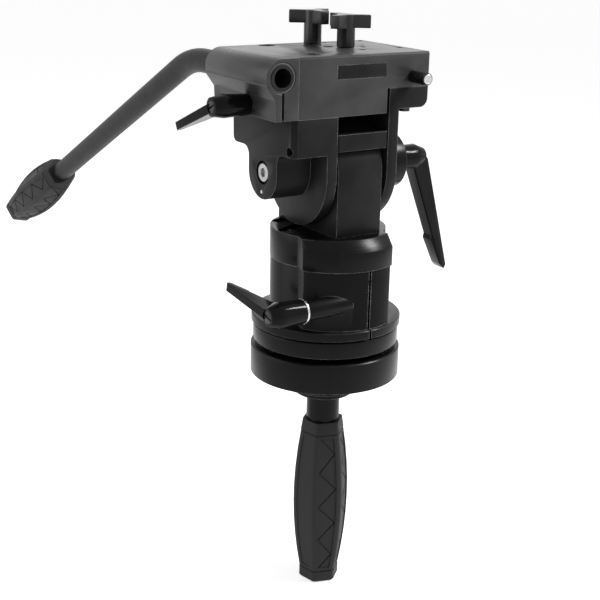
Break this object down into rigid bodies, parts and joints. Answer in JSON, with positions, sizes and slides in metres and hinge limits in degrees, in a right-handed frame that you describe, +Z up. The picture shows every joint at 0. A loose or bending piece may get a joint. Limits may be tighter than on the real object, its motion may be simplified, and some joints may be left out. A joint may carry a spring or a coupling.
{
  "type": "pan tilt head",
  "caption": "Manual fluid pan and tilt head on a half-ball levelling bowl, with a split pan clamp, tilt tower, adjustable locking levers, angled pan bar and tie-down handle.",
  "frame": {"origin": "on the pan axis at the flat underside of the levelling bowl's rim", "axes": "+Z up along the pan axis, front face towards -Y, tilt axis along X, pan bar clamp on the -X side"},
  "size_m": [0.273, 0.6825, 0.561],
  "materials": {
    "black_anodised": "black anodised, fine brushed grain",
    "black_anodised_turned": "black anodised, turned, satin",
    "steel": "bright zinc plated",
    "black_steel": "black oxide",
    "lever_plastic": "gloss black moulding",
    "grip_rubber": "matt black rubber",
    "sleeve_plastic": "grey-black bearing plastic",
    "friction_lining": "brown friction lining",
    "bearing_bronze": "sintered bronze",
    "white_mark": "white",
    "bar_paint": "satin black anodised tube"
  },
  "bodies": {
    "bowl": {"levelling_bowl": "black_anodised_turned"},
    "level_ring": {"dish_washer": "black_anodised_turned"},
    "base": {"half_ball": "black_anodised_turned", "half_ball_screws": "black_steel", "base_disc": "black_anodised_turned", "pan_drum": "black_anodised_turned", "drum_screws": "black_steel", "pan_bearings": "bearing_bronze", "pan_drag_stators": "steel", "tie_down_stud": "steel"},
    "tie_down": {"tie_down_insert": "black_anodised_turned", "tie_down_grip": "grip_rubber"},
    "turret": {"clamp_body": "black_anodised_turned", "turret_cap": "black_anodised_turned", "cap_screws": "black_steel", "pan_spindle": "steel", "spindle_screws": "black_steel", "spindle_nut": "steel", "pan_drag_rotors": "friction_lining", "tower": "black_anodised", "tower_screws": "black_steel", "tilt_bearings": "bearing_bronze", "tilt_drag_stators": "steel", "pan_lock_washer": "steel"},
    "cradle": {"tilt_drag_rotors": "friction_lining", "tilt_thrust_washers": "bearing_bronze", "left_cradle": "black_anodised", "index_dot": "white_mark", "tilt_axle": "steel", "axle_screw": "steel", "right_cheek": "black_anodised", "right_drum": "black_anodised_turned", "top_block": "black_anodised", "cradle_screws": "black_steel", "cheek_screws": "black_steel", "tie_bars": "black_anodised", "front_plate": "black_anodised", "bar_clamp": "black_anodised", "clamp_screws": "black_steel"},
    "sleeve": {"bar_sleeve": "sleeve_plastic"},
    "bar": {"pan_bar": "bar_paint", "pan_bar_grip": "grip_rubber"},
    "tilt_lock": {"tilt_lever_insert": "steel", "tilt_lever_screw": "steel"},
    "tilt_handle": {"tilt_lever_handle": "lever_plastic", "tilt_lever_spring": "steel"},
    "pan_lock": {"pan_lever_insert": "steel", "pan_lever_screw": "steel"},
    "pan_handle": {"pan_lever_handle": "lever_plastic", "pan_lever_spring": "steel"},
    "clamp_lock": {"clamp_lever_insert": "steel", "clamp_lever_screw": "steel"},
    "clamp_handle": {"clamp_lever_handle": "lever_plastic", "clamp_lever_spring": "steel"},
    "rear_knob": {"rear_lobe_knob": "lever_plastic", "rear_knob_stud": "steel"},
    "front_knob": {"front_lobe_knob": "lever_plastic", "front_knob_stud": "steel"},
    "thumb": {"thumb_screw": "steel", "thumb_screw_sleeve": "black_steel"}
  },
  "joints": [
    {"name": "level_x", "type": "hinge", "parent": "bowl", "child": "level_ring", "pos_m": [0, 0, 0.028], "axis": [1, 0, 0], "range_deg": [-3, 3]},
    {"name": "level_y", "type": "hinge", "parent": "level_ring", "child": "base", "pos_m": [0, 0, 0.028], "axis": [0, 1, 0], "range_deg": [-3, 3]},
    {"name": "tie_down_turn", "type": "hinge", "parent": "base", "child": "tie_down", "pos_m": [0, 0, -0.06], "axis": [0, 0, 1], "continuous": true},
    {"name": "pan", "type": "hinge", "parent": "base", "child": "turret", "pos_m": [0, 0, 0.05], "axis": [0, 0, 1], "continuous": true},
    {"name": "tilt", "type": "hinge", "parent": "turret", "child": "cradle", "pos_m": [0, 0, 0.1985], "axis": [1, 0, 0], "range_deg": [-35, 35]},
    {"name": "bar_turn", "type": "hinge", "parent": "cradle", "child": "sleeve", "pos_m": [-0.0837, 0, 0.2882], "axis": [0, 1, 0], "continuous": true},
    {"name": "bar_slide", "type": "slide", "parent": "sleeve", "child": "bar", "axis": [0, 1, 0], "range_m": [-0.025, 0.06]},
    {"name": "tilt_lock_turn", "type": "hinge", "parent": "cradle", "child": "tilt_lock", "pos_m": [0.073, 0, 0.1985], "axis": [1, 0, 0], "range_deg": [-30, 60]},
    {"name": "tilt_handle_lift", "type": "slide", "parent": "tilt_lock", "child": "tilt_handle", "axis": [1, 0, 0], "range_m": [0, 0.004], "stiffness_N_per_m": 500, "springref_m": -0.004},
    {"name": "pan_lock_turn", "type": "hinge", "parent": "turret", "child": "pan_lock", "pos_m": [-0.064, -0.056, 0.0835], "axis": [1, 0, 0], "range_deg": [-60, 30]},
    {"name": "pan_handle_lift", "type": "slide", "parent": "pan_lock", "child": "pan_handle", "axis": [-1, 0, 0], "range_m": [0, 0.004], "stiffness_N_per_m": 500, "springref_m": -0.004},
    {"name": "clamp_lock_turn", "type": "hinge", "parent": "cradle", "child": "clamp_lock", "pos_m": [-0.0912, -0.005, 0.261], "axis": [1, 0, 0], "range_deg": [-60, 30]},
    {"name": "clamp_handle_lift", "type": "slide", "parent": "clamp_lock", "child": "clamp_handle", "axis": [-1, 0, 0], "range_m": [0, 0.004], "stiffness_N_per_m": 500, "springref_m": -0.004},
    {"name": "rear_knob_turn", "type": "hinge", "parent": "cradle", "child": "rear_knob", "pos_m": [0.005, 0.041, 0.3042], "axis": [0, 0, 1], "range_deg": [-50, 5]},
    {"name": "front_knob_turn", "type": "hinge", "parent": "cradle", "child": "front_knob", "pos_m": [0.0166, 0.004, 0.3042], "axis": [0, 0, 1], "range_deg": [-50, 5]},
    {"name": "thumb_screw_turn", "type": "hinge", "parent": "cradle", "child": "thumb", "pos_m": [0.0523, -0.0505, 0.2827], "axis": [0, 1, 0], "continuous": true}
  ]
}
